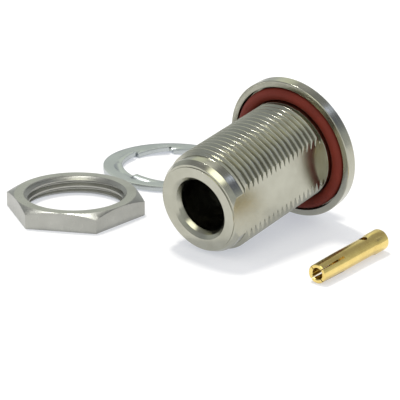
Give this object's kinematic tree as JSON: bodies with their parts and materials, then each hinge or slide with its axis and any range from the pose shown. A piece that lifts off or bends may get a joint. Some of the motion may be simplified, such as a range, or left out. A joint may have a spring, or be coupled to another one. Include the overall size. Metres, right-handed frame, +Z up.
{
  "type": "n type connector",
  "caption": "Threaded bulkhead coaxial jack for semi-rigid cable with flatted barrel, sealing ring, hex nut, toothed lock washer and slotted centre contact, laid out in pieces.",
  "frame": {"origin": "on the surface that the kit lies on, under the middle of the kit's outer box", "axes": "+Z up; +X to the right and +Y to the back of the laid out kit; the open end of the jack points to the front left"},
  "size_m": [0.0578, 0.06, 0.0223],
  "materials": {
    "nickel": "turned and plated, satin",
    "rubber": "silicone rubber, satin",
    "ptfe": "machined, matte",
    "gold": "gold plated, polished",
    "nut_metal": "plated, satin",
    "washer_metal": "stamped and plated, satin"
  },
  "bodies": {
    "root": {"connector_body": "nickel", "sealing_ring": "rubber", "insulator": "ptfe", "centre_contact": "gold", "hex_nut": "nut_metal", "lock_washer": "washer_metal"}
  },
  "joints": []
}
